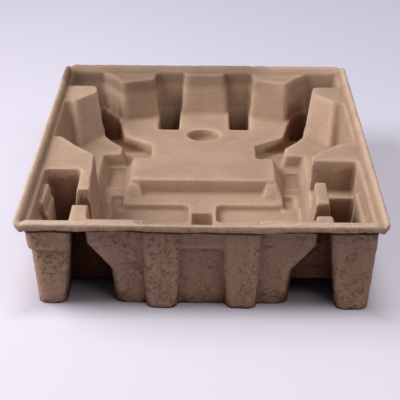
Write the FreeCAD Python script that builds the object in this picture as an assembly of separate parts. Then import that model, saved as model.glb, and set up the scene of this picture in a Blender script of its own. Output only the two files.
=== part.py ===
import FreeCAD, Part
import math
import os

# Molded pulp tray insert: one pressed shell of even thickness.
# The origin is at the middle of the footprint on the ground, +X to the right, +Y to the rear, +Z up.
# Every hollow is a drafted cavity. The sheet is what lies between the cavities and the same
# cavities grown by one wall. Leans are in degrees. Places near a wall are given in from that wall,
# the side wall first, and the others from the middle planes.

# Overall size
tray_width = 380.0
tray_length = 524.0
tray_height = 101.0
wall = 4.0

# Rim
rim_thickness = 5.0
rim_side = 6.0
rim_end = 11.0
rim_corner = 13.0
rim_round = 1.5
rim_lean = 27.0

# Lands below the top of the rim and below each other, then flat surfaces above the ground
rim_depth = 3.0
side_drop = 6.0
seat_level = 45.0
shelf_level = 29.0
panel_level = 22.0

# General draft, rounding and joints between cavities
draft = 5.0
corner_round = 6.0
island_round = 6.5
sharp = 0.0
tight_round = 3.0
small_round = 1.0
deep_round = 4.0
least_turn = 18.0
overlap = 1.5
draw = 1.2
side_set = 1.0
end_set = 1.0

# Lower lands along the sides, in from the side wall and from the front wall
recess_near = 68.4
recess_turn = 28.4
left_recess_front = 78.5
right_recess_front = 48.5

# Rests along the rear wall, in from the side wall and from the rear wall
rest_outer = (69.4, 43.5)
rest_bend = (57.4, 20.5)
rest_root = 41.4
rest_front = 24.5
rest_lean = 14.0
middle_rest_front = 7.5
middle_rest_lean = 20.0

# Deep channels between those rests, across from the middle and in from the rear wall
channel_near = 27.0
channel_far = 66.0
channel_front = 91.5

# Rests along the side walls, in from the side wall and from the rear wall
side_rest_tip = (11.4, 105.5)
side_rest_nose = (37.4, 68.5)
side_rest_heel = (34.4, 51.5)
side_rest_end = 98.5
side_rest_back = 46.5
side_rest_lean = 33.0

# Rear edges of the big lands, in from the side wall and along from the middle
right_land_rear = [(33.4, -26.0), (15.4, -6.0)]
left_land_rear = [(28.4, -20.0), (9.4, 9.0)]

# Pockets behind the side rests, in from the side wall and from the rear wall
pocket_near = 74.4
pocket_far = 44.4
pocket_front = 90.5

# Raised seat in the middle, with a blind round socket and two lugs. The sides are in from the
# side wall, the front and the shoulder along from the middle, the rest in from the rear wall.
seat_front = -10.0
seat_front_lean = 15.0
seat_side = 92.4
seat_side_lean = 28.0
seat_shoulder = 61.0
seat_neck = 113.4
seat_neck_rear = 144.5
seat_corner = (78.4, 115.5)
seat_rear = (71.4, 57.5)
socket_radius = 21.0
socket_depth = 12.0
socket_place = 106.5
lug_width = 8.0
lug_reach = 2.0
lug_drop = 4.0
lug_front_lean = 42.0
lug_side_lean = 24.0

# Ledges beside the seat, and the moats' rear corners, which are in from the
# side wall and from the rear wall
ledge_inner = 75.4
ledge_lean = 20.0
ledge_front = 71.0
ledge_corner = 97.0
ledge_rear = (59.4, 119.0)
ledge_heel = (50.4, 138.0)
moat_rear = (44.4, 57.5)

# Walls of the bowl in front of the side rests. The front corner is in from both walls.
land_start = (52.9, -48.0)
bowl_front = (56.9, 60.5)

# Lanes, pits, blocks and gutters between the seat and the walls
lane_corner = (53.4, -39.0)
lane_lean = 20.0
pit_level = 24.0
right_pit_rear = 52.0
left_pit_rear = 66.0
block_rear = 4.0
block_front = -21.0
gutter_near = 84.4
gutter_far = 70.4
gutter_front = -52.0
gutter_level = 18.0

# Panels in front of the seat, either side of a bridge
panel_rear = -47.0
panel_front = -96.0
panel_near = 16.0
left_panel_far = 73.4
right_panel_far = 67.4
panel_round = 8.0
bridge_half = 12.0
bridge_front = -70.0

# Floor between the panels and the front trough
basin_side = 68.4
basin_rear = -112.0
basin_level = 13.0

# Trough behind the front wall, in from that wall and the side walls, with two columns
trough_front = 7.5
trough_front_side = 61.4
trough_rear = 78.5
trough_rear_side = 59.4
waist_top = 70.0
waist_end = 40.0
waist_lean = 40.0
column_place = 41.0
column_half = 18.0
column_root = 25.0
column_lean = 3.5
front_lean = 2.0
brow_level = 72.0
brow_set = 2.0

# Corner wells, in from the side wall and from the front wall, with steps on their walls
well_outer = 1.4
left_well_near = 43.4
left_well_rear = 155.5
left_step_level = 70.0
left_step = 5.0
left_front_step = 10.0
right_well_near = 44.4
right_well_rear = 186.5
right_ledge_level = 54.0
right_rear_step = 15.0
right_tab_rear = 121.5

# Ribs on the wells' outer walls: how far they stand in, their ends from the front wall, their tops
left_rib = (7.0, 76.5, 128.5)
left_rib_level = 85.0
right_rib = (8.0, 43.5, 121.5)
right_rib_level = 80.0

# Notches between the wells and the bowl, in from the front wall and from the side wall
left_notch = (43.5, 97.5)
left_notch_level = 15.0
right_notch = (19.5, 65.5)
right_notch_level = 29.0
notch_near = 94.4
notch_far = 22.4


def edge(x, y, lean=draft, rounding=None):
    # A corner of an outline, how far the side that starts there leans from upright, and its radius.
    return (x, y, lean, rounding)


def mirrored(outline):
    turned = []
    for index in range(len(outline) - 1, -1, -1):
        x, y, lean, rounding = outline[index]
        turned.append((-x, y, outline[index - 1][2], rounding))
    return turned


def joined(right, left, front_lean=draft):
    # Two half outlines, both written for the right side from front to rear, as one outline.
    turned = mirrored(left)
    x, y, lean, rounding = turned[-1]
    return right + turned[:-1] + [(x, y, front_lean, rounding)]


def cross(first, second):
    return first[0] * second[1] - first[1] * second[0]


def moved_line(start, end, run):
    length = math.hypot(end[0] - start[0], end[1] - start[1])
    along = ((end[0] - start[0]) / length, (end[1] - start[1]) / length)
    return (start[0] + along[1] * run, start[1] - along[0] * run), along


def moved_outline(outline, runs):
    # Each side of a counter-clockwise outline moves outwards by its own run.
    moved = []
    for index, point in enumerate(outline):
        before = moved_line(outline[index - 1], point, runs[index - 1])
        after = moved_line(point, outline[(index + 1) % len(outline)], runs[index])
        gap = (after[0][0] - before[0][0], after[0][1] - before[0][1])
        reach = cross(gap, after[1]) / cross(before[1], after[1])
        moved.append((before[0][0] + before[1][0] * reach, before[0][1] + before[1][1] * reach))
    return moved


def stacked_solid(rings):
    # A flat-sided solid through outlines of equal count at falling heights.
    loops = [[FreeCAD.Vector(x, y, height) for x, y in outline] for height, outline in rings]
    faces = [Part.Face(Part.makePolygon(loop + loop[:1])) for loop in (loops[0], loops[-1])]
    for upper, lower in zip(loops, loops[1:]):
        for index in range(len(upper)):
            after = (index + 1) % len(upper)
            corners = [upper[index], upper[after], lower[after], lower[index]]
            faces.append(Part.Face(Part.makePolygon(corners + corners[:1])))
    return Part.Solid(Part.Shell(faces))


def standing_edges(solid, rings, chosen):
    # The upright edges at the chosen corners of the rings.
    corners = [FreeCAD.Vector(*ring[index], height) for height, ring in rings for index in chosen]
    found = []
    for candidate in solid.Edges:
        ends = [vertex.Point for vertex in candidate.Vertexes]
        if abs(ends[0].z - ends[-1].z) > overlap:
            if all(any(end.isEqual(corner, 1e-4) for corner in corners) for end in ends):
                found.append(candidate)
    return found


def corner_radii(outline, skin, corner, island):
    # The corners that get each radius. A corner that juts into the hollow loses the skin.
    radii = {}
    for index, (x, y, lean, rounding) in enumerate(outline):
        before, along = moved_line(outline[index - 1], (x, y), 0.0)
        after, onward = moved_line((x, y), outline[(index + 1) % len(outline)], 0.0)
        turn = cross(along, onward)
        if abs(turn) > math.sin(math.radians(least_turn)):
            own = (corner if turn > 0 else island) if rounding is None else rounding
            radius = own + skin if turn > 0 else own - skin
            if own > 0 and radius > 0:
                radii.setdefault(radius, []).append(index)
    return radii


def hollow(outline, lip, floor, skin, waists=(), corner=corner_round, island=island_round):
    # One drafted cavity, grown by a skin. The outline holds at the lip.
    # At a waist, a height and new leans by side, the walls change their lean.
    start = lip
    points = [(x, y) for x, y, lean, rounding in outline]
    slopes = [math.radians(lean) for x, y, lean, rounding in outline]
    offsets = [0.0] * len(points)
    top = lip - overlap if skin else lip + overlap
    base = floor - skin
    rings = []
    height = top
    for waist, leans in list(waists) + [(floor, {})]:
        runs = [offset + (height - start) * math.tan(slope) + skin / math.cos(slope)
                for offset, slope in zip(offsets, slopes)]
        rings.append((height, moved_outline(points, runs)))
        offsets = [offset + (waist - start) * math.tan(slope)
                   for offset, slope in zip(offsets, slopes)]
        start = waist
        for index, lean in leans.items():
            before = slopes[index]
            slopes[index] = math.radians(lean)
            height = waist - skin * (math.sin(before) + math.sin(slopes[index])) / (
                1 + math.cos(slopes[index] - before))
    runs = [offset + (base - start) * math.tan(slope) + skin / math.cos(slope)
            for offset, slope in zip(offsets, slopes)]
    rings.append((base, moved_outline(points, runs)))
    solid = stacked_solid(rings).removeSplitter()
    for radius, chosen in corner_radii(outline, skin, corner, island).items():
        solid = solid.makeFillet(radius, standing_edges(solid, rings, chosen))
    return solid


def rectangle(near, far, front, rear, lean=draft, front_side=None):
    first = lean if front_side is None else front_side
    return [edge(near, front, first), edge(far, front, lean), edge(far, rear, lean), edge(near, rear, lean)]


def socket(skin):
    taper = math.tan(math.radians(draft))
    rise = -overlap if skin else overlap
    upper = socket_radius + skin + rise * taper
    lower = socket_radius + skin - (socket_depth + skin) * taper
    place = FreeCAD.Vector(0, end_wall - socket_place, seat_level - socket_depth - skin)
    return Part.makeCone(lower, upper, socket_depth + skin + rise, place)


half_width = tray_width / 2
half_length = tray_length / 2
foot = wall
end_land = tray_height - rim_depth
side_land = end_land - side_drop
rim_slope = math.tan(math.radians(rim_lean))
bowl_side = half_width - rim_side
bowl_end = half_length - rim_end
side_wall = bowl_side - (tray_height - side_land) * rim_slope - side_set
end_wall = bowl_end - (tray_height - end_land) * rim_slope - end_set


def along(place):
    # A place in from the side wall and along from the middle.
    return side_wall - place[0], place[1]


def rear(place):
    # A place in from the side wall and from the rear wall.
    return side_wall - place[0], end_wall - place[1]


def front(place):
    # A place in from the side wall and from the front wall.
    return side_wall - place[0], place[1] - end_wall


def main_half(land_rear):
    # From the trough at the front to the middle of the rear wall.
    walls = [edge(*front(bowl_front)), edge(*along(land_start))]
    return walls + [edge(*along(place)) for place in land_rear] + [
        edge(side_wall, land_rear[-1][1], rounding=tight_round),
        edge(side_wall, end_wall - side_rest_end, side_rest_lean),
        edge(*rear(side_rest_tip), side_rest_lean),
        edge(*rear(side_rest_nose)),
        edge(*rear(side_rest_heel)),
        edge(side_wall, end_wall - side_rest_back),
        edge(side_wall, end_wall),
        edge(side_wall - rest_root, end_wall),
        edge(*rear(rest_bend)),
        edge(*rear(rest_outer), rest_lean),
        edge(channel_far, end_wall - rest_front),
        edge(channel_far, end_wall),
        edge(channel_near, end_wall, rounding=small_round),
        edge(channel_near, end_wall - middle_rest_front, middle_rest_lean),
    ]


def pair(outline, lip, floor, **options):
    return [(outline, lip, floor, options), (mirrored(outline), lip, floor, options)]


def one(outline, lip, floor, **options):
    return [(outline, lip, floor, options)]


def recess(start):
    # The lower land of one side. At the front it runs on along the outer wall of the well.
    side = bowl_side - (tray_height - end_land) * rim_slope
    root = side_wall - rest_root + draw
    tip = end_wall - side_rest_tip[1]
    return [
        edge(*front((recess_near, start))),
        edge(*front((recess_turn, start))),
        edge(side_wall - recess_turn, -end_wall),
        edge(side, -end_wall, rim_lean),
        edge(side, end_wall),
        edge(root, end_wall),
        edge(root, tip),
        edge(side_wall - recess_near, tip),
    ]


def rim_cavities():
    bowl = rectangle(-bowl_side, bowl_side, -bowl_end, bowl_end, rim_lean)
    return (
        one(bowl, tray_height, end_land)
        + one(recess(right_recess_front), end_land, side_land)
        + one(mirrored(recess(left_recess_front)), end_land, side_land)
    )


def rear_cavities():
    main = joined(main_half(right_land_rear), main_half(left_land_rear))
    channel = rectangle(channel_near + draw, channel_far - draw, end_wall - channel_front,
                        end_wall - draw)
    pocket = [
        edge(*rear((pocket_near, pocket_front))),
        edge(*rear((pocket_far, pocket_front))),
        edge(*rear((side_rest_heel[0] + draw, side_rest_heel[1]))),
        edge(*rear((draw, side_rest_back - draw))),
        edge(*rear((draw, draw))),
        edge(*rear((rest_root - draw, draw))),
        edge(*rear((rest_bend[0] - draw, rest_bend[1]))),
        edge(*rear((rest_outer[0] - draw, rest_outer[1]))),
    ]
    moat = [
        edge(*along((seat_neck, seat_shoulder))),
        edge(*along((ledge_inner, seat_shoulder)), ledge_lean),
        edge(*along((ledge_inner, ledge_corner))),
        edge(*along(ledge_rear)),
        edge(*along(ledge_heel)),
        edge(*rear(moat_rear)),
        edge(*rear(seat_rear)),
        edge(*rear(seat_corner)),
        edge(*rear((seat_neck, seat_neck_rear))),
    ]
    return (
        one(main, end_land, seat_level)
        + pair(channel, end_land, foot, corner=deep_round)
        + pair(pocket, end_land, foot, corner=deep_round)
        + pair(moat, seat_level, shelf_level, corner=deep_round)
    )


def middle_cavities():
    taper = math.tan(math.radians(draft))
    inset = (end_land - seat_level) * taper + draw
    fall = seat_level - shelf_level
    basin_front = bowl_front[1] + inset + fall * taper + draw - end_wall
    basin_far = side_wall - basin_side
    lane_far = side_wall - lane_corner[0]
    pit_far = lane_far - fall * math.tan(math.radians(lane_lean)) - draw
    lug_far = side_wall - seat_side
    pit_near = lug_far + fall * math.tan(math.radians(seat_side_lean)) + draw
    lug_near = lug_far - lug_width
    lug_front = seat_front - lug_reach
    half_shelf = [
        edge(*front((bowl_front[0] + inset, bowl_front[1] + inset)), rounding=corner_round),
        edge(*along((land_start[0] + inset, land_start[1])), rounding=sharp),
        edge(*along(lane_corner), lane_lean, sharp),
        edge(lane_far, ledge_front),
        edge(lug_far, ledge_front, seat_side_lean),
        edge(lug_far, lug_front, lug_front_lean, sharp),
        edge(lug_near, lug_front, lug_side_lean, sharp),
        edge(lug_near, seat_front, seat_front_lean, sharp),
    ]
    lug_top = rectangle(lug_near - lug_width, lug_far + lug_width, seat_front - 2 * lug_width,
                        seat_front)
    gutter = rectangle(side_wall - gutter_near, side_wall - gutter_far, gutter_front, block_front)
    right_panel = rectangle(panel_near, side_wall - right_panel_far, panel_front, panel_rear)
    left_panel = rectangle(panel_near, side_wall - left_panel_far, panel_front, panel_rear)
    bridge_end = rectangle(-bridge_half, bridge_half, basin_rear - deep_round, bridge_front)
    basin = rectangle(-basin_far, basin_far, basin_front, basin_rear)
    right_pit = rectangle(pit_near, pit_far, block_rear, right_pit_rear)
    left_pit = rectangle(pit_near, pit_far, block_rear, left_pit_rear)
    return (
        one(joined(half_shelf, half_shelf), seat_level, shelf_level, corner=small_round)
        + pair(lug_top, seat_level, seat_level - lug_drop, corner=small_round)
        + one(right_pit, shelf_level, pit_level, corner=deep_round)
        + one(mirrored(left_pit), shelf_level, pit_level, corner=deep_round)
        + pair(gutter, shelf_level, gutter_level, corner=deep_round)
        + one(right_panel, shelf_level, panel_level, corner=panel_round)
        + one(mirrored(left_panel), shelf_level, panel_level, corner=panel_round)
        + one(basin, shelf_level, basin_level)
        + one(bridge_end, shelf_level, basin_level, corner=deep_round)
    )


def front_cavities():
    front_far, front_edge = front((trough_front_side, trough_front))
    rear_far, rear_edge = front((trough_rear_side, trough_rear))
    trough = [
        edge(-front_far, front_edge),
        edge(front_far, front_edge),
        edge(rear_far, rear_edge),
        edge(-rear_far, rear_edge),
    ]
    waists = [
        (waist_top, {1: waist_lean, 3: waist_lean}),
        (waist_end, {1: draft, 3: draft}),
    ]
    column = [
        edge(column_place - column_half, -end_wall, front_lean),
        edge(column_place + column_half, -end_wall, column_lean),
        edge(column_place + column_half, front_edge + column_root),
        edge(column_place - column_half, front_edge + column_root, column_lean),
    ]
    brow = rectangle(-column_place, column_place, brow_set - end_wall, front_edge + column_root)
    return (
        one(trough, end_land, foot, waists=waists)
        + pair(column, end_land, foot)
        + one(brow, end_land, brow_level)
    )


def ribbed(near, far, start, end, rib):
    # A well's outline with one rib on its outer wall.
    reach, rib_front, rib_rear = rib
    return [
        edge(near, start, front_lean),
        edge(far, start),
        edge(far, rib_front - end_wall, rounding=sharp),
        edge(far - reach, rib_front - end_wall, rounding=sharp),
        edge(far - reach, rib_rear - end_wall, rounding=sharp),
        edge(far, rib_rear - end_wall, rounding=sharp),
        edge(far, end),
        edge(near, end),
    ]


def well_cavities():
    left_end = left_well_rear - end_wall
    right_end = right_well_rear - end_wall
    left_near = side_wall - left_well_near
    right_near = side_wall - right_well_near
    far = side_wall - well_outer
    left_upper = rectangle(left_near, far, -end_wall, left_end, front_side=front_lean)
    left_middle = ribbed(left_near + draw, far - draw, draw - end_wall, left_end - draw, left_rib)
    left_lower = ribbed(left_near + 2 * draw, far - left_step, left_front_step - end_wall,
                        left_end - 2 * draw, left_rib)
    right_upper = rectangle(right_near, far, -end_wall, right_end - right_rear_step,
                            front_side=front_lean)
    right_lower = ribbed(right_near + draw, far - draw, draw - end_wall,
                         right_end - right_rear_step - draw, right_rib)
    cut_near = side_wall - notch_near
    cut_far = side_wall - notch_far
    right_ledge = rectangle(cut_near, far - draw, right_tab_rear - end_wall, right_end)
    left_cut = rectangle(cut_near, cut_far, *(place - end_wall for place in left_notch))
    right_cut = rectangle(cut_near, cut_far, *(place - end_wall for place in right_notch))
    return (
        one(mirrored(left_upper), end_land, left_rib_level)
        + one(mirrored(left_middle), left_rib_level, left_step_level)
        + one(mirrored(left_lower), left_step_level, foot)
        + one(right_upper, end_land, right_rib_level)
        + one(right_lower, right_rib_level, foot)
        + one(right_ledge, end_land, right_ledge_level, corner=deep_round)
        + one(mirrored(left_cut), end_land, left_notch_level, corner=deep_round)
        + one(right_cut, end_land, right_notch_level, corner=deep_round)
    )


def build_tray():
    cavities = (
        rim_cavities() + rear_cavities() + middle_cavities() + front_cavities() + well_cavities()
    )
    solids = {}
    for skin in (0.0, wall):
        made = [hollow(outline, lip, floor, skin, **options)
                for outline, lip, floor, options in cavities]
        solids[skin] = made + [socket(skin)]
    plate = Part.makeBox(tray_width, tray_length, rim_thickness,
                         FreeCAD.Vector(-half_width, -half_length, tray_height - rim_thickness))
    upright = [side for side in plate.Edges if abs(side.tangentAt(0).z) > 0.5]
    plate = plate.makeFillet(rim_corner, upright)
    level = [side for side in plate.Edges if side.BoundBox.ZLength < 1e-6]
    plate = plate.makeFillet(rim_round, level)
    skin_side = plate.multiFuse(solids[wall])
    hollow_side = solids[0.0][0].multiFuse(solids[0.0][1:])
    return skin_side.cut(hollow_side)


os.makedirs("parts", exist_ok=True)
tray = build_tray()
tray.exportStep("parts/pulp_tray.step")
print("solids", len(tray.Solids), "faces", len(tray.Faces), "volume", round(tray.Volume),
      "valid", tray.isValid())
print("box", tray.BoundBox)
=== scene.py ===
import math

import bpy
import numpy as np
from mathutils import Matrix, Vector
from mathutils.bvhtree import BVHTree


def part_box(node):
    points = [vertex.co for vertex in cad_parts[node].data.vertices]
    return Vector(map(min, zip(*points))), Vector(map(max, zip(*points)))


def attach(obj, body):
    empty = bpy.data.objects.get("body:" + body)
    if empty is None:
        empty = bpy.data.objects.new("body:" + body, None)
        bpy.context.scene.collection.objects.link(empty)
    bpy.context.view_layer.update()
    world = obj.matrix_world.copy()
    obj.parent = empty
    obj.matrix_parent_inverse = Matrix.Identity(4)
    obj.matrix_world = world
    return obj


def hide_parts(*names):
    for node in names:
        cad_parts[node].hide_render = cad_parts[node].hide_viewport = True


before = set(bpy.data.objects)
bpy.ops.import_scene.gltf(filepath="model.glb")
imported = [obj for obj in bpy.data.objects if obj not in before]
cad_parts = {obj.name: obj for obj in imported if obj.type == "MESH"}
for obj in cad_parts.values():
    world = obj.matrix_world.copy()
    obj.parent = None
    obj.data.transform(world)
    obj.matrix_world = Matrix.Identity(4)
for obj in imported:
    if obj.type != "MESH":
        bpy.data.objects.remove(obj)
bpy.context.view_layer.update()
trayLow, trayHigh = (np.array(corner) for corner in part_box("pulp_tray"))
print("frame loaded")


# small helpers for meshes

def selectOnly(piece):
    bpy.ops.object.select_all(action="DESELECT")
    piece.select_set(True)
    bpy.context.view_layer.objects.active = piece


def applyModifier(piece, kind, **values):
    selectOnly(piece)
    modifier = piece.modifiers.new(kind.lower(), kind)
    for name, value in values.items():
        setattr(modifier, name, value)
    bpy.ops.object.modifier_apply(modifier=modifier.name)


def readVectors(mesh, name):
    values = np.zeros(len(mesh.vertices) * 3)
    mesh.vertices.foreach_get(name, values)
    return values.reshape(-1, 3)


def writePoints(mesh, points):
    mesh.vertices.foreach_set("co", points.ravel())
    mesh.update()


def writeAttribute(mesh, name, values):
    attribute = mesh.attributes.new(name, "FLOAT", "POINT")
    attribute.data.foreach_set("value", values)


def writeGroup(piece, name, weights, levels=20):
    group = piece.vertex_groups.new(name=name)
    steps = np.round(np.clip(weights, 0.0, 1.0) * levels).astype(int)
    for step in range(1, levels + 1):
        chosen = np.nonzero(steps == step)[0]
        if len(chosen):
            group.add(chosen.tolist(), step / levels, "REPLACE")


def ramp(values, start, end):
    # a straight rise from 0 to 1, or a fall where the end is the lower value
    return np.clip((values - start) / (end - start), 0.0, 1.0)


def fadeIn(values, start, full):
    # a smooth rise from 0 to 1, or a step where both values are the same
    if start == full:
        return values > start
    share = ramp(values, start, full)
    return share * share * (3.0 - 2.0 * share)


def fadeOut(values, full, end):
    return 1.0 - fadeIn(values, full, end)


def insetOf(points):
    # how far in from the nearest side of the tray each point lies
    inner = np.minimum(points[:, :2] - trayLow[:2], trayHigh[:2] - points[:, :2])
    return np.min(inner, axis=1)


# small helpers for shader nodes

def addNode(tree, kind, place, **values):
    node = tree.nodes.new(kind)
    node.location = place
    for name, value in values.items():
        setattr(node, name, value)
    return node


def feed(tree, socket, value):
    # a socket takes a number, a colour or what another node puts out
    if isinstance(value, (int, float)):
        socket.default_value = value
    elif isinstance(value, tuple):
        socket.default_value = (*value, 1.0)
    else:
        tree.links.new(value, socket)


def mathNode(tree, operation, place, first, second=0.0):
    node = addNode(tree, "ShaderNodeMath", place, operation=operation)
    feed(tree, node.inputs[0], first)
    feed(tree, node.inputs[1], second)
    return node.outputs[0]


def rangeNode(tree, place, value, low, high, bottom=0.0, top=1.0):
    node = addNode(tree, "ShaderNodeMapRange", place, interpolation_type="SMOOTHSTEP")
    labels = ("Value", "From Min", "From Max", "To Min", "To Max")
    for label, given in zip(labels, (value, low, high, bottom, top)):
        feed(tree, node.inputs[label], given)
    return node.outputs["Result"]


def noiseNode(tree, place, vector, scale, detail=3.0, roughness=0.55, distortion=0.0):
    node = addNode(tree, "ShaderNodeTexNoise", place)
    labels = ("Vector", "Scale", "Detail", "Roughness", "Distortion")
    for label, given in zip(labels, (vector, scale, detail, roughness, distortion)):
        feed(tree, node.inputs[label], given)
    return node.outputs["Fac"]


def axesNode(tree, place, vector):
    node = addNode(tree, "ShaderNodeSeparateXYZ", place)
    feed(tree, node.inputs["Vector"], vector)
    return node.outputs


def mixColour(tree, place, blend, amount, first, second):
    node = addNode(tree, "ShaderNodeMix", place, data_type="RGBA", blend_type=blend)
    for number, given in ((0, amount), (6, first), (7, second)):
        feed(tree, node.inputs[number], given)
    return node.outputs[2]


def toneBy(tree, place, colour, mask, dark, pale):
    # the colour takes the dark tone where the mask is 0 and the pale one where it's 1
    tone = mixColour(tree, (place[0] - 200, place[1] - 250), "MIX", mask, dark, pale)
    return mixColour(tree, place, "MULTIPLY", 1.0, colour, tone)


def newGroup(name, numbers, outputs):
    tree = bpy.data.node_groups.new(name, "ShaderNodeTree")
    tree.interface.new_socket("Vector", in_out="INPUT", socket_type="NodeSocketVector")
    for label in numbers:
        tree.interface.new_socket(label, in_out="INPUT", socket_type="NodeSocketFloat")
    for label in outputs:
        tree.interface.new_socket(label, in_out="OUTPUT", socket_type="NodeSocketFloat")
    start = addNode(tree, "NodeGroupInput", (-900, 0))
    end = addNode(tree, "NodeGroupOutput", (900, 0))
    return tree, start.outputs, end.inputs


def placeGroup(tree, group, place, vector, values):
    node = addNode(tree, "ShaderNodeGroup", place, node_tree=group)
    feed(tree, node.inputs["Vector"], vector)
    for label, value in values.items():
        feed(tree, node.inputs[label], value)
    return node.outputs


# fills between the hollows, on both sides of the tray. The corners in plan are those of the
# right side: near the middle and far from it at the front, then far and near at the rear.

gutterPlan = ((0.0925, -0.0535), (0.1095, -0.0535), (0.1095, -0.0195), (0.0925, -0.0195))
fills = {
    "moatCorner": {
        "top": ((0.0980, 0.136), (0.1020, 0.136), (0.1128, 0.199), (0.1040, 0.199)),
        "bottom": ((0.0980, 0.134), (0.1058, 0.134), (0.1160, 0.199), (0.1040, 0.199)),
        "heights": (0.0255, 0.0449),
    },
    "gutterFloor": {
        "top": gutterPlan,
        "bottom": gutterPlan,
        "heights": (0.0155, 0.0235),
    },
}


def addFill(name, turn):
    # a cube whose corners are moved to the fill's own, with a turn of -1 for the left side
    fill = fills[name]
    bpy.ops.object.select_all(action="DESELECT")
    bpy.ops.mesh.primitive_cube_add(size=1.0)
    piece = bpy.context.active_object
    piece.name = name
    for vertex in piece.data.vertices:
        upward, rearward = vertex.co.z > 0, vertex.co.y > 0
        outward = (vertex.co.x > 0) == (turn > 0)
        frontNear, frontFar, rearFar, rearNear = fill["top" if upward else "bottom"]
        near, far = (rearNear, rearFar) if rearward else (frontNear, frontFar)
        across, along = far if outward else near
        vertex.co = (across * turn, along, fill["heights"][1 if upward else 0])
    return piece


def joinFills(tray):
    pieces = [addFill(name, turn) for name in fills for turn in (1.0, -1.0)]
    selectOnly(tray)
    for piece in pieces:
        piece.select_set(True)
    bpy.ops.object.join()


# the pressed pulp shell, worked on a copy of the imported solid

trayShape = {
    "voxel": 0.0017,                # grid of the remesh, in metres
    "roundSteps": 4,                # how soft the folds get
    "triangles": 190000,
    # the lip
    "lipHeight": 0.0905,            # it starts here
    "lipInset": 0.0100,             # how far in from the edge its underside reaches
    "lipFade": 0.0030,              # over how much its edges come in
    "lipTop": (0.0960, 0.0985),     # the drop fades out over these heights
    "lipDrop": 0.0032,              # how far it hangs down past its flat
    "lipWave": 0.00075,             # how much that varies along the rim
    # sines that add up to that wave: how often, where each starts, how strong
    "waves": ((31.0, 1.0, 1.0), (74.0, 0.3, 0.7), (163.0, 0.0, 0.4)),
    "waveLean": 0.8,                # how much a step along the tray counts against one across
    "lipCrisp": 0.65,               # how much less the lip is softened
    "crispHeights": (0.088, 0.090),
    "crispInset": (0.008, 0.014),
    # parts of the rim that sank: how far, where each comes in and where some go out again
    "sinkHeights": (0.078, 0.094),  # they all come in over these heights
    "rollDrop": 0.0022,             # the side lips roll over towards the wall
    "rollInset": (0.0022, 0.0075, 0.0130),
    "rearDrop": 0.0042,             # the rear lip and the tops of the rear rests
    "rearInset": (0.0022, 0.0105),
    "rearAlong": (0.196, 0.208),
    "rearSides": (0.005, 0.020),
    "frontDip": 0.0032,             # the front lip is pressed thinner along its middle
    "dipInset": (0.002, 0.009, 0.014, 0.022),
    "dipAcross": (-0.071, -0.060, 0.055, 0.088),
    "frontSag": 0.0012,             # the whole front hangs a little in the middle
    "sagInset": 0.020,
    "sagHeight": 0.090,
    "sagWidth": 0.120,
    # how the two sides and the folds are told apart
    "sideTurn": 9.0,                # how soon a wall that leans counts as one side
    "sideSteps": 6,                 # how far that spreads to its neighbours
    "foldGain": 6.0,
    "foldSteps": 4,
    # rays from each point that measure how open its place is
    "skyRays": 16,
    "skyReach": 0.16,
    "skyStart": 0.0012,
    "skyLevel": -0.01,              # rays that point lower than this may meet the ground
    "skyTurn": 2.39996,             # from one ray to the next
    # relief: the size of its lumps, its depth, the vertices that get it and its finer layers
    "reliefs": {
        "slowWaves": (0.070, 0.0009, "", 2),
        "wrinkles": (0.006, 0.0010, "roughSide", 2),
        "grain": (0.003, 0.0006, "roughSide", 2),
        "skin": (0.006, 0.0002, "smoothSide", 2),
        "rags": (0.010, 0.0019, "ragged", 3),
    },
    # painted shade in the hollows, put in by place. Across and along, it comes in between the first two
    # values and ends at the third, and it fades out over the heights. Where it has a facing, only
    # walls that face the front hold it.
    "paintedShades": {
        "wellRears": {"amount": 0.62, "bothSides": True, "facing": (0.2, 0.7),
                      "across": (0.112, 0.120, 0.190), "along": (-0.200, -0.200, -0.020),
                      "heights": (0.080, 0.090)},
        "tunnelRears": {"amount": 0.66, "bothSides": True, "facing": (0.298, 0.298),
                        "across": (0.078, 0.078, 0.158), "along": (-0.242, -0.227, -0.152),
                        "heights": (0.092, 0.092)},
        "rightPocket": {"amount": 0.50, "bothSides": False, "facing": None,
                        "across": (0.088, 0.100, 0.135), "along": (0.115, 0.135, 0.262),
                        "heights": (0.040, 0.084)},
        "moats": {"amount": 0.80, "bothSides": True, "facing": None,
                  "across": (0.060, 0.082, 0.135), "along": (0.100, 0.122, 0.262),
                  "heights": (0.034, 0.046)},
    },
}


def copyShell():
    tray = bpy.data.objects.new("pulpShell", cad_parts["pulp_tray"].data.copy())
    bpy.context.scene.collection.objects.link(tray)
    tray.data.materials.clear()
    selectOnly(tray)
    bpy.ops.object.mode_set(mode="EDIT")
    bpy.ops.mesh.select_all(action="SELECT")
    bpy.ops.mesh.remove_doubles(threshold=1e-5)
    bpy.ops.object.mode_set(mode="OBJECT")
    return tray


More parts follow.
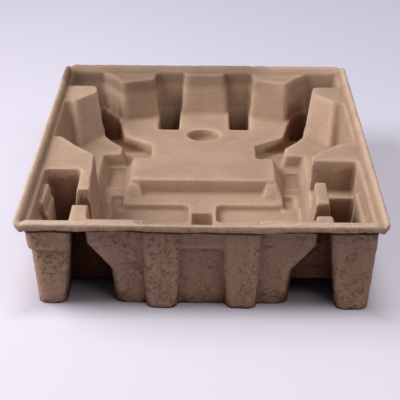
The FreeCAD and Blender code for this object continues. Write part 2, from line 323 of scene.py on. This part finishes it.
def shapeLip(mesh):
    # the lip hangs lower than its flat, its lower edge wanders, and parts of the rim sank
    shape = trayShape
    points = readVectors(mesh, "co")
    across, along, height = points.T  # these three stay tied to the points
    underLip = ramp(insetOf(points), shape["lipInset"], shape["lipInset"] - shape["lipFade"])
    underFlat = (height > shape["lipHeight"]) * ramp(height, *reversed(shape["lipTop"]))
    run = across + along * shape["waveLean"]
    wave = sum(strength * np.sin(run * often + start) for often, start, strength in shape["waves"])
    height -= underLip * underFlat * (shape["lipDrop"] + shape["lipWave"] * wave)

    sideGap = np.minimum(across - trayLow[0], trayHigh[0] - across)
    rollStart, rollEnd, rollGone = shape["rollInset"]
    rolled = fadeIn(sideGap, rollStart, rollEnd) * fadeOut(sideGap, rollEnd, rollGone)
    rearSunk = (fadeIn(trayHigh[1] - along, *shape["rearInset"])
                * fadeIn(along, *shape["rearAlong"]) * fadeIn(sideGap, *shape["rearSides"]))
    dipped = 1.0
    for values, band in ((along - trayLow[1], shape["dipInset"]), (across, shape["dipAcross"])):
        dipped = dipped * fadeIn(values, *band[:2]) * fadeOut(values, *band[2:])
    drops = ((rolled, shape["rollDrop"]), (rearSunk, shape["rearDrop"]), (dipped, shape["frontDip"]))
    upper = fadeIn(height, *shape["sinkHeights"])
    for where, drop in drops:
        height -= drop * upper * where
    writePoints(mesh, points)


def softenFolds(tray):
    points = readVectors(tray.data, "co")
    onLip = (fadeIn(points[:, 2], *trayShape["crispHeights"])
             * fadeOut(insetOf(points), *trayShape["crispInset"]))
    writeGroup(tray, "softened", 1.0 - trayShape["lipCrisp"] * onLip)
    applyModifier(tray, "SMOOTH", factor=0.5, iterations=trayShape["roundSteps"],
                  vertex_group="softened")


def neighbourMean(values, pairs, count):
    total = np.zeros(len(values))
    np.add.at(total, pairs[:, 0], values[pairs[:, 1]])
    np.add.at(total, pairs[:, 1], values[pairs[:, 0]])
    return total / count


def measureSides(mesh):
    # 1 on the rough side that faced the mesh tool, 0 on the smooth side, and how sharp each fold is
    points, normals = readVectors(mesh, "co"), readVectors(mesh, "normal")
    pairs = np.zeros(len(mesh.edges) * 2, dtype=int)
    mesh.edges.foreach_get("vertices", pairs)
    pairs = pairs.reshape(-1, 2)
    count = np.maximum(np.bincount(pairs.ravel(), minlength=len(points)), 1)
    side = np.clip(0.5 - normals[:, 2] * trayShape["sideTurn"], 0.0, 1.0)
    for _ in range(trayShape["sideSteps"]):
        side = neighbourMean(side, pairs, count)
    middle = np.stack([neighbourMean(axis, pairs, count) for axis in points.T], axis=1)
    fold = np.einsum("ij,ij->i", points - middle, normals) / trayShape["voxel"]
    for _ in range(trayShape["foldSteps"]):
        fold = neighbourMean(fold, pairs, count)
    return side, np.clip(0.5 + fold * trayShape["foldGain"], 0.0, 1.0)


def markRegions(tray):
    # what the relief and the finish follow
    shape = trayShape
    side, fold = measureSides(tray.data)
    writeAttribute(tray.data, "meshSide", side)
    writeAttribute(tray.data, "foldEdge", fold)
    points = readVectors(tray.data, "co")
    ragged = (ramp(points[:, 2], shape["lipHeight"], shape["lipHeight"] + shape["lipFade"])
              * ramp(insetOf(points), shape["lipInset"], 0.0))
    sagging = (ramp(points[:, 1] - trayLow[1], shape["sagInset"], 0.0)
               * ramp(points[:, 2], 0.0, shape["sagHeight"]) ** 3
               * np.clip(np.cos(points[:, 0] / shape["sagWidth"]), 0.0, 1.0))
    writeGroup(tray, "roughSide", side)
    writeGroup(tray, "smoothSide", 1.0 - side)
    writeGroup(tray, "ragged", ragged)
    writeGroup(tray, "sagging", sagging)


def addRelief(tray):
    for name, (size, depth, group, layers) in trayShape["reliefs"].items():
        texture = bpy.data.textures.new(name, "CLOUDS")
        texture.noise_scale = size
        texture.noise_depth = layers
        applyModifier(tray, "DISPLACE", texture=texture, strength=depth, mid_level=0.5,
                      vertex_group=group, texture_coords="LOCAL")
    applyModifier(tray, "DISPLACE", strength=-trayShape["frontSag"], mid_level=0.0,
                  direction="Z", vertex_group="sagging")


def thinMesh(tray):
    # fewer triangles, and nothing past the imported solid's own size
    triangles = sum(len(face.vertices) - 2 for face in tray.data.polygons)
    applyModifier(tray, "DECIMATE", ratio=min(1.0, trayShape["triangles"] / triangles))
    writePoints(tray.data, np.clip(readVectors(tray.data, "co"), trayLow, trayHigh))
    tray.vertex_groups.clear()


def meetsGround(start, heading):
    # whether a ray comes down on the ground under the tray
    if heading.z >= trayShape["skyLevel"]:
        return False
    landing = start - heading * (start.z / heading.z)
    return trayLow[0] < landing.x < trayHigh[0] and trayLow[1] < landing.y < trayHigh[1]


def measureOpenness(mesh):
    # the share of rays from each point that get out past the tray and the ground under it,
    # and less of it where painted shade is put in by place
    tree = BVHTree.FromPolygons([vertex.co for vertex in mesh.vertices],
                                [tuple(face.vertices) for face in mesh.polygons])
    rays = trayShape["skyRays"]
    fan = []
    for step in range(rays):
        reach, turn = math.sqrt((step + 0.5) / rays), step * trayShape["skyTurn"]
        fan.append(Vector((reach * math.cos(turn), reach * math.sin(turn),
                           math.sqrt(1.0 - reach * reach))))
    values = np.zeros(len(mesh.vertices))
    for vertex in mesh.vertices:
        turned = vertex.normal.to_track_quat("Z", "Y").to_matrix()
        start = vertex.co + vertex.normal * trayShape["skyStart"]
        for ray in fan:
            heading = turned @ ray
            if meetsGround(start, heading):
                continue
            if tree.ray_cast(start, heading, trayShape["skyReach"])[0] is None:
                values[vertex.index] += 1.0
    return values / rays * measurePaintedShade(mesh)


def measurePaintedShade(mesh):
    # how much light is left where painted shade is put in by place
    points, normals = readVectors(mesh, "co"), readVectors(mesh, "normal")
    left = np.ones(len(points))
    for shade in trayShape["paintedShades"].values():
        across = np.abs(points[:, 0]) if shade["bothSides"] else points[:, 0]
        held = fadeOut(points[:, 2], *shade["heights"])
        for values, (start, full, end) in ((across, shade["across"]), (points[:, 1], shade["along"])):
            held = held * fadeIn(values, start, full) * (values < end)
        if shade["facing"]:
            held = held * fadeIn(-normals[:, 1], *shade["facing"])
        left *= 1.0 - shade["amount"] * held
    return left


def makeTray():
    tray = copyShell()
    joinFills(tray)
    applyModifier(tray, "REMESH", mode="VOXEL", voxel_size=trayShape["voxel"])
    shapeLip(tray.data)
    softenFolds(tray)
    print("shell remeshed", len(tray.data.vertices))
    markRegions(tray)
    addRelief(tray)
    thinMesh(tray)
    # the finish darkens by this as painted shade where few rays get out
    writeAttribute(tray.data, "paintedShadeOpenness", measureOpenness(tray.data))
    selectOnly(tray)
    bpy.ops.object.shade_smooth()
    print("shell done", len(tray.data.polygons))
    return tray


# pulp finish

pulpFinish = {
    "roughness": 0.92,
    "specular": 0.18,
    "smoothColour": (0.480, 0.328, 0.240),
    "roughColour": (0.540, 0.338, 0.243),
    # paler, greyer top of the rim: painted highlight
    "rimTopHighlight": (0.530, 0.378, 0.292),
    "rearColour": (0.260, 0.172, 0.125),    # darker along the rear lip and the tops of the rear rests
    # painted shade in the crease under the lip
    "creaseShadeColour": (0.070, 0.038, 0.028),
    "markColour": (0.130, 0.058, 0.038),
    "paleFibre": (0.640, 0.500, 0.400),
    "speckColour": (0.090, 0.052, 0.038),
    "tunnelShade": (0.300, 0.205, 0.170),   # painted shade on the mesh side where it's out of the light
    # tones, from where the mask is 0 to where it's 1
    "mottleTones": ((0.94, 0.935, 0.93), (1.05, 1.05, 1.05)),
    "grainTones": ((0.88, 0.87, 0.86), (1.12, 1.12, 1.12)),
    # painted shade on concave folds and painted highlight on convex ones
    "foldLightAndShadeTones": ((0.83, 0.81, 0.79), (1.14, 1.14, 1.14)),
    "hollowShadeTones": ((0.420, 0.262, 0.190), (1.0, 1.0, 1.0)),  # painted shade far down in the hollows, where few rays get out
    # how much of each
    "rearAmount": 0.80,
    "creaseShadeAmount": 0.88,
    "paleAmount": 0.25,
    "speckAmount": 0.60,
    "coarseGaps": (0.06, 0.95),             # on the smooth side and on the mesh side
    "fineGaps": (0.12, 0.55),
    "wornGaps": (0.34, 1.0),                # in the hollows and on the edges
    # values over which each mask goes from 0 to 1
    "roughRange": (0.30, 0.70),
    "outwardRange": (0.22, 0.42),
    "foldRange": (0.20, 0.80),
    "wornRange": (0.52, 0.74),
    "openRange": (0.0, 0.32),
    "litRange": (0.20, 0.70),
    "mottleRange": (0.36, 0.64),
    "grainRange": (0.30, 0.70),
    # heights and places of the lip, the rear lip and the painted shade in the crease under it, in metres
    "lipHeights": (0.0975, 0.1000),
    "rearHeights": (0.074, 0.084),
    "rearAlong": (0.188, 0.206),
    "rearAcross": (0.050, 0.110),
    "creaseFoot": (0.0903, 0.0913),
    "creaseHead": (0.0926, 0.0934),
    "creaseLean": -0.4,                     # it runs further down where the wall is deeper
    # how fine each pattern is, and how big and how many the specks are
    "mottle": {"Broad": 22.0, "Fine": 620.0},
    "coarseFibres": {"Clump": 260.0, "Strand": 620.0, "Patch": 34.0},
    "fineFibres": {"Clump": 520.0, "Strand": 1200.0, "Patch": 90.0},
    "specks": {"Scale": 150.0, "Size": 0.10, "Share": 0.16},
    # relief
    "coarseDepth": 0.0026,
    "coarseStrength": 0.90,
    "fineDepth": 0.0007,
    "fineStrength": 0.60,
    # the matted fibres themselves
    "gapLevel": 0.46,                       # the gaps follow this level of the clumps
    "gapWidth": (0.004, 0.036),
    "gapPatches": (0.41, 0.55),             # where there are gaps at all
    "gapBreaks": (0.50, 0.58),              # where they're broken off
    "breakScale": 210.0,
    "gapDepth": 0.35,
    "clumpShare": 0.6,
    "strandShare": 0.4,
    "paleStrands": (0.60, 0.72),
}


def makeMottleGroup():
    # slow change of tone from how the pulp settled
    tree, given, put = newGroup("pulpMottle", ("Broad", "Fine"), ("Tone", "Grain"))
    broad = noiseNode(tree, (-500, 200), given["Vector"], given["Broad"], detail=2.0, roughness=0.5)
    fine = noiseNode(tree, (-500, -100), given["Vector"], given["Fine"], detail=2.0, roughness=0.7)
    feed(tree, put["Tone"], rangeNode(tree, (200, 100), broad, *pulpFinish["mottleRange"]))
    feed(tree, put["Grain"], rangeNode(tree, (200, -100), fine, *pulpFinish["grainRange"]))
    return tree


def makeFibreGroup():
    # matted fibres: a lumpy height, short dark gaps between clumps and a few pale strands
    form = pulpFinish
    tree, given, put = newGroup("pulpFibres", ("Clump", "Strand", "Patch"), ("Height", "Gaps", "Pale"))
    vector = given["Vector"]
    clump = noiseNode(tree, (-350, 300), vector, given["Clump"], roughness=0.60, distortion=1.8)
    strand = noiseNode(tree, (-350, 0), vector, given["Strand"], roughness=0.60, distortion=0.8)
    patch = noiseNode(tree, (-350, -300), vector, given["Patch"], roughness=0.60)
    short = noiseNode(tree, (-350, -550), vector, form["breakScale"], detail=1.0)
    level = mathNode(tree, "SUBTRACT", (-150, 300), clump, form["gapLevel"])
    narrow = rangeNode(tree, (150, 300), mathNode(tree, "ABSOLUTE", (0, 300), level),
                       *form["gapWidth"], 1.0, 0.0)
    some = mathNode(tree, "MULTIPLY", (200, -400), rangeNode(tree, (0, -300), patch, *form["gapPatches"]),
                    rangeNode(tree, (0, -550), short, *form["gapBreaks"]))
    gaps = mathNode(tree, "MULTIPLY", (350, 100), narrow, some)
    lumps = mathNode(tree, "ADD", (150, 0),
                     mathNode(tree, "MULTIPLY", (0, 100), clump, form["clumpShare"]),
                     mathNode(tree, "MULTIPLY", (0, 0), strand, form["strandShare"]))
    sunk = mathNode(tree, "MULTIPLY", (350, -50), gaps, form["gapDepth"])
    feed(tree, put["Height"], mathNode(tree, "SUBTRACT", (500, 0), lumps, sunk))
    feed(tree, put["Gaps"], gaps)
    feed(tree, put["Pale"], rangeNode(tree, (150, -150), strand, *form["paleStrands"]))
    return tree


def makeSpeckGroup():
    # small dark bits of print and bark, in some cells only
    tree, given, put = newGroup("pulpSpecks", ("Scale", "Size", "Share"), ("Speck",))
    cells = addNode(tree, "ShaderNodeTexVoronoi", (-500, 0), feature="F1")
    feed(tree, cells.inputs["Vector"], given["Vector"])
    feed(tree, cells.inputs["Scale"], given["Scale"])
    spread = addNode(tree, "ShaderNodeSeparateColor", (-300, -150))
    feed(tree, spread.inputs["Color"], cells.outputs["Color"])
    near = mathNode(tree, "LESS_THAN", (-100, 100), cells.outputs["Distance"], given["Size"])
    some = mathNode(tree, "LESS_THAN", (-100, -150), spread.outputs["Red"], given["Share"])
    feed(tree, put["Speck"], mathNode(tree, "MULTIPLY", (200, 0), near, some))
    return tree


def makeWaveGroup():
    # the same wander as the lip's lower edge, for the painted shade in the crease under it
    tree, given, put = newGroup("lipWander", (), ("Wave",))
    axes = axesNode(tree, (-700, 0), given["Vector"])
    leaned = mathNode(tree, "MULTIPLY", (-550, 0), axes["Y"], trayShape["waveLean"])
    run = mathNode(tree, "ADD", (-400, 0), axes["X"], leaned)
    total = 0.0
    for row, (often, start, strength) in enumerate(trayShape["waves"]):
        level = -200 * row
        turn = mathNode(tree, "ADD", (-100, level),
                        mathNode(tree, "MULTIPLY", (-250, level), run, often), start)
        part = mathNode(tree, "MULTIPLY", (200, level),
                        mathNode(tree, "SINE", (50, level), turn), strength)
        total = mathNode(tree, "ADD", (400, level), part, total)
    feed(tree, put["Wave"], total)
    return tree


def readAttribute(tree, place, name):
    return addNode(tree, "ShaderNodeAttribute", place, attribute_name=name).outputs["Fac"]


def makeRearMask(tree, axes):
    # the rear lip and the tops of the rests, up to the right rest
    finish = pulpFinish
    rearward = rangeNode(tree, (-1350, -1100), axes["Y"], *finish["rearAlong"])
    high = rangeNode(tree, (-1350, -1300), axes["Z"], *finish["rearHeights"])
    leftward = rangeNode(tree, (-1350, -1500), axes["X"], *finish["rearAcross"], 1.0, 0.0)
    both = mathNode(tree, "MULTIPLY", (-1100, -1400), high, leftward)
    return mathNode(tree, "MULTIPLY", (-1000, -1200), rearward, both)


def makeCreaseShadeMask(tree, place, axes, side):
    # painted shade in the crease where the wall meets the lip's underside, on the outside of the tray
    finish = pulpFinish
    wander = placeGroup(tree, makeWaveGroup(), (-1350, -1700), place, {})
    lift = mathNode(tree, "MULTIPLY", (-1150, -1700), wander["Wave"], trayShape["lipWave"])
    edgeHeight = mathNode(tree, "ADD", (-1000, -1600), axes["Z"], lift)
    past = []
    for name, half, level in (("X", trayHigh[0], -1900), ("Y", trayHigh[1], -2050)):
        away = mathNode(tree, "ABSOLUTE", (-1150, level), axes[name])
        past.append(mathNode(tree, "SUBTRACT", (-1000, level), away, half))
    inset = mathNode(tree, "MULTIPLY", (-700, -1950),
                     mathNode(tree, "MAXIMUM", (-850, -1950), *past), finish["creaseLean"])
    foot = rangeNode(tree, (-500, -1550), mathNode(tree, "ADD", (-600, -1550), edgeHeight, inset),
                     *finish["creaseFoot"])
    head = rangeNode(tree, (-500, -1750), edgeHeight, *finish["creaseHead"], 1.0, 0.0)
    outward = rangeNode(tree, (-650, -2100), side, *finish["outwardRange"])
    band = mathNode(tree, "MULTIPLY", (-350, -1600), foot, head)
    return mathNode(tree, "MULTIPLY", (-200, -1800), band, outward)


def makeMasks(tree, place):
    # where on the tray each colour goes, from 0 to 1
    finish = pulpFinish
    axes = axesNode(tree, (-1600, -900), place)
    side = readAttribute(tree, (-1600, 400), "meshSide")
    fold = readAttribute(tree, (-1600, 700), "foldEdge")
    openness = readAttribute(tree, (-1600, 950), "paintedShadeOpenness")
    return {
        "rough": rangeNode(tree, (-1350, 400), side, *finish["roughRange"]),
        "fold": rangeNode(tree, (-1350, 700), fold, *finish["foldRange"]),
        "worn": rangeNode(tree, (-1100, 900), fold, *finish["wornRange"], *finish["wornGaps"]),
        "open": rangeNode(tree, (-1350, 950), openness, *finish["openRange"]),
        "sheltered": rangeNode(tree, (-1100, 1100), openness, *finish["litRange"], 1.0, 0.0),
        "lip": rangeNode(tree, (-1350, -900), axes["Z"], *finish["lipHeights"]),
        "rear": makeRearMask(tree, axes),
        "creaseShade": makeCreaseShadeMask(tree, place, axes, side),
    }


def mixBase(tree, masks):
    # the plain colour of each part of the tray, with painted highlight on the rim's top
    finish = pulpFinish
    plain = mixColour(tree, (-900, 400), "MIX", masks["rough"], finish["smoothColour"],
                      finish["roughColour"])
    topHighlighted = mixColour(tree, (-850, 400), "MIX", masks["lip"], plain, finish["rimTopHighlight"])
    amount = mathNode(tree, "MULTIPLY", (-900, 600), masks["rear"], finish["rearAmount"])
    return mixColour(tree, (-800, 400), "MIX", amount, topHighlighted, finish["rearColour"])


def mixMarks(tree, colour, masks, patterns):
    # dark gaps, most of them on the mesh side, then pale strands and specks all over
    finish, coarse, fine = pulpFinish, patterns["coarse"], patterns["fine"]
    coarseShare = rangeNode(tree, (-900, 0), masks["rough"], 0.0, 1.0, *finish["coarseGaps"])
    coarseGaps = mathNode(tree, "MULTIPLY", (-600, 0), masks["worn"],
                          mathNode(tree, "MULTIPLY", (-700, 0), coarse["Gaps"], coarseShare))
    fineShare = rangeNode(tree, (-700, -150), masks["rough"], 0.0, 1.0, *finish["fineGaps"])
    fineGaps = mathNode(tree, "MULTIPLY", (-500, 0), fine["Gaps"], fineShare)
    strands = mathNode(tree, "MULTIPLY", (-500, 100), fine["Pale"], finish["paleAmount"])
    specks = mathNode(tree, "MULTIPLY", (-300, 100), patterns["specks"]["Speck"],
                      finish["speckAmount"])
    layers = ((coarseGaps, "markColour"), (fineGaps, "markColour"), (strands, "paleFibre"),
              (specks, "speckColour"))
    for step, (amount, name) in enumerate(layers):
        colour = mixColour(tree, (-500 + 100 * step, 400), "MIX", amount, colour, finish[name])
    return colour


def mixShade(tree, colour, masks):
    # painted highlights on convex folds and painted shade in concave folds, hollows, tunnels and crease
    finish = pulpFinish
    edged = toneBy(tree, (100, 400), colour, masks["fold"], *finish["foldLightAndShadeTones"])
    deep = toneBy(tree, (300, 400), edged, masks["open"], *finish["hollowShadeTones"])
    sheltered = mathNode(tree, "MULTIPLY", (200, 900), masks["sheltered"], masks["rough"])
    dim = mixColour(tree, (350, 400), "MULTIPLY", sheltered, deep, finish["tunnelShade"])
    amount = mathNode(tree, "MULTIPLY", (300, 700), masks["creaseShade"], finish["creaseShadeAmount"])
    return mixColour(tree, (400, 550), "MIX", amount, dim, finish["creaseShadeColour"])


def addBumps(tree, masks, patterns):
    coarse = addNode(tree, "ShaderNodeBump", (100, -100))
    coarse.inputs["Distance"].default_value = pulpFinish["coarseDepth"]
    strength = mathNode(tree, "MULTIPLY", (-100, -100), masks["rough"], pulpFinish["coarseStrength"])
    feed(tree, coarse.inputs["Strength"], strength)
    feed(tree, coarse.inputs["Height"], patterns["coarse"]["Height"])
    fine = addNode(tree, "ShaderNodeBump", (300, -200))
    fine.inputs["Distance"].default_value = pulpFinish["fineDepth"]
    fine.inputs["Strength"].default_value = pulpFinish["fineStrength"]
    feed(tree, fine.inputs["Height"], patterns["fine"]["Height"])
    feed(tree, fine.inputs["Normal"], coarse.outputs["Normal"])
    return fine.outputs["Normal"]


def makePulpMaterial():
    finish = pulpFinish
    material = bpy.data.materials.new("pulpFinish")
    material.use_nodes = True
    tree = material.node_tree
    shader = tree.nodes["Principled BSDF"]
    shader.inputs["Roughness"].default_value = finish["roughness"]
    shader.inputs["Specular IOR Level"].default_value = finish["specular"]
    place = addNode(tree, "ShaderNodeTexCoord", (-1800, 0)).outputs["Object"]
    masks = makeMasks(tree, place)
    fibreGroup = makeFibreGroup()
    patterns = {
        "mottle": placeGroup(tree, makeMottleGroup(), (-1300, 200), place, finish["mottle"]),
        "coarse": placeGroup(tree, fibreGroup, (-1300, -100), place, finish["coarseFibres"]),
        "fine": placeGroup(tree, fibreGroup, (-1300, -400), place, finish["fineFibres"]),
        "specks": placeGroup(tree, makeSpeckGroup(), (-1300, -700), place, finish["specks"]),
    }
    colour = mixBase(tree, masks)
    colour = toneBy(tree, (-700, 400), colour, patterns["mottle"]["Tone"], *finish["mottleTones"])
    colour = toneBy(tree, (-600, 400), colour, patterns["mottle"]["Grain"], *finish["grainTones"])
    colour = mixMarks(tree, colour, masks, patterns)
    feed(tree, shader.inputs["Base Color"], mixShade(tree, colour, masks))
    feed(tree, shader.inputs["Normal"], addBumps(tree, masks, patterns))
    return material


tray = makeTray()
tray.data.materials.append(makePulpMaterial())
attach(tray, "root")
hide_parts("pulp_tray")
print("tray finished")


# floor, lamps and camera

studio = {
    "floorSize": 9.0,
    "floorRoughness": 0.9,
    "floorSpecular": 0.1,
    "floorNear": (0.490, 0.464, 0.525),
    "floorFar": (0.437, 0.416, 0.490),
    "floorAlong": (-0.6, 0.7),         # from near to far
    "floorLeft": (0.80, 0.80, 0.80),   # tone of the floor far out at the left
    "floorAcross": (-0.90, -0.15),
    "floorGlow": 0.72,                 # how much of its pale tone the camera sees without light
    "underShadeEdge": (0.150, 0.225),        # none of it under the tray: painted shade on the ground there
    "underShadeFade": 0.06,
    "keyPower": 38.5,
    "keyPlace": (-1.32, 0.08, 1.20),
    "keySize": 1.3,
    "fillPower": 22.0,
    "fillPlace": (1.00, -0.80, 2.05),
    "fillSize": 2.2,
    "worldColour": (1.0, 0.92, 0.88),
    "worldStrength": 0.10,
}


def mixFloorTone(tree, axes):
    away = rangeNode(tree, (-500, 0), axes["Y"], *studio["floorAlong"])
    graded = mixColour(tree, (-400, 0), "MIX", away, studio["floorNear"], studio["floorFar"])
    rightward = rangeNode(tree, (-500, 200), axes["X"], *studio["floorAcross"])
    return toneBy(tree, (-250, 0), graded, rightward, studio["floorLeft"], (1.0, 1.0, 1.0))


# the floor's glow for the camera, held back under the tray as painted shade
def measureGlowAndUnderShade(tree, axes):
    past = []
    for name, edge, level in zip("XY", studio["underShadeEdge"], (-250, -400)):
        away = mathNode(tree, "ABSOLUTE", (-700, level), axes[name])
        past.append(mathNode(tree, "SUBTRACT", (-550, level), away, edge))
    beyond = mathNode(tree, "MAXIMUM", (-400, -300), *past)
    clear = rangeNode(tree, (-250, -300), beyond, 0.0, studio["underShadeFade"])
    seen = addNode(tree, "ShaderNodeLightPath", (-250, -500)).outputs["Is Camera Ray"]
    shown = mathNode(tree, "MULTIPLY", (-50, -500), seen, clear)
    return mathNode(tree, "MULTIPLY", (-50, -350), shown, studio["floorGlow"])


def makeFloor():
    bpy.ops.object.select_all(action="DESELECT")
    bpy.ops.mesh.primitive_plane_add(size=studio["floorSize"])
    floor = bpy.context.active_object
    floor.name = "paleFloor"
    material = bpy.data.materials.new("palePaper")
    material.use_nodes = True
    tree = material.node_tree
    shader = tree.nodes["Principled BSDF"]
    shader.inputs["Roughness"].default_value = studio["floorRoughness"]
    shader.inputs["Specular IOR Level"].default_value = studio["floorSpecular"]
    place = addNode(tree, "ShaderNodeTexCoord", (-900, 0)).outputs["Object"]
    axes = axesNode(tree, (-700, 0), place)
    tone = mixFloorTone(tree, axes)
    feed(tree, shader.inputs["Base Color"], tone)
    feed(tree, shader.inputs["Emission Color"], tone)
    feed(tree, shader.inputs["Emission Strength"], measureGlowAndUnderShade(tree, axes))
    floor.data.materials.append(material)


def addLamp(place, power, size):
    bpy.ops.object.light_add(type="AREA", location=place)
    lamp = bpy.context.active_object
    lamp.data.energy = power
    lamp.data.size = size
    lamp.rotation_euler = (-Vector(place)).to_track_quat("-Z", "Y").to_euler()


def makeLight():
    addLamp(studio["keyPlace"], studio["keyPower"], studio["keySize"])
    addLamp(studio["fillPlace"], studio["fillPower"], studio["fillSize"])
    world = bpy.data.worlds.new("softRoom")
    bpy.context.scene.world = world
    world.use_nodes = True
    sky = world.node_tree.nodes["Background"]
    sky.inputs["Color"].default_value = (*studio["worldColour"], 1.0)
    sky.inputs["Strength"].default_value = studio["worldStrength"]


camera = {
    "place": (0.0076, -1.4386, 0.6419),
    "pitch": 0.4113,   # downwards, in radians
    "yaw": 0.0079,
    "roll": 0.0055,
    "lens": 117.0,
    "sensor": 36.0,
}


def makeCamera():
    lens = bpy.data.cameras.new("viewCamera")
    lens.sensor_width = camera["sensor"]
    lens.lens = camera["lens"]
    viewer = bpy.data.objects.new("viewCamera", lens)
    bpy.context.scene.collection.objects.link(viewer)
    pitch, yaw, roll = camera["pitch"], camera["yaw"], camera["roll"]
    forward = Vector((-math.sin(yaw) * math.cos(pitch), math.cos(yaw) * math.cos(pitch),
                      -math.sin(pitch)))
    level = Vector((math.cos(yaw), math.sin(yaw), 0.0))
    upright = level.cross(forward)
    right = math.cos(roll) * level + math.sin(roll) * upright
    up = -math.sin(roll) * level + math.cos(roll) * upright
    turn = Matrix((right, up, -forward)).transposed()
    viewer.matrix_world = Matrix.Translation(camera["place"]) @ turn.to_4x4()
    bpy.context.scene.camera = viewer


makeFloor()
makeLight()
makeCamera()
bpy.context.scene.view_settings.view_transform = "Standard"
print("stage done")
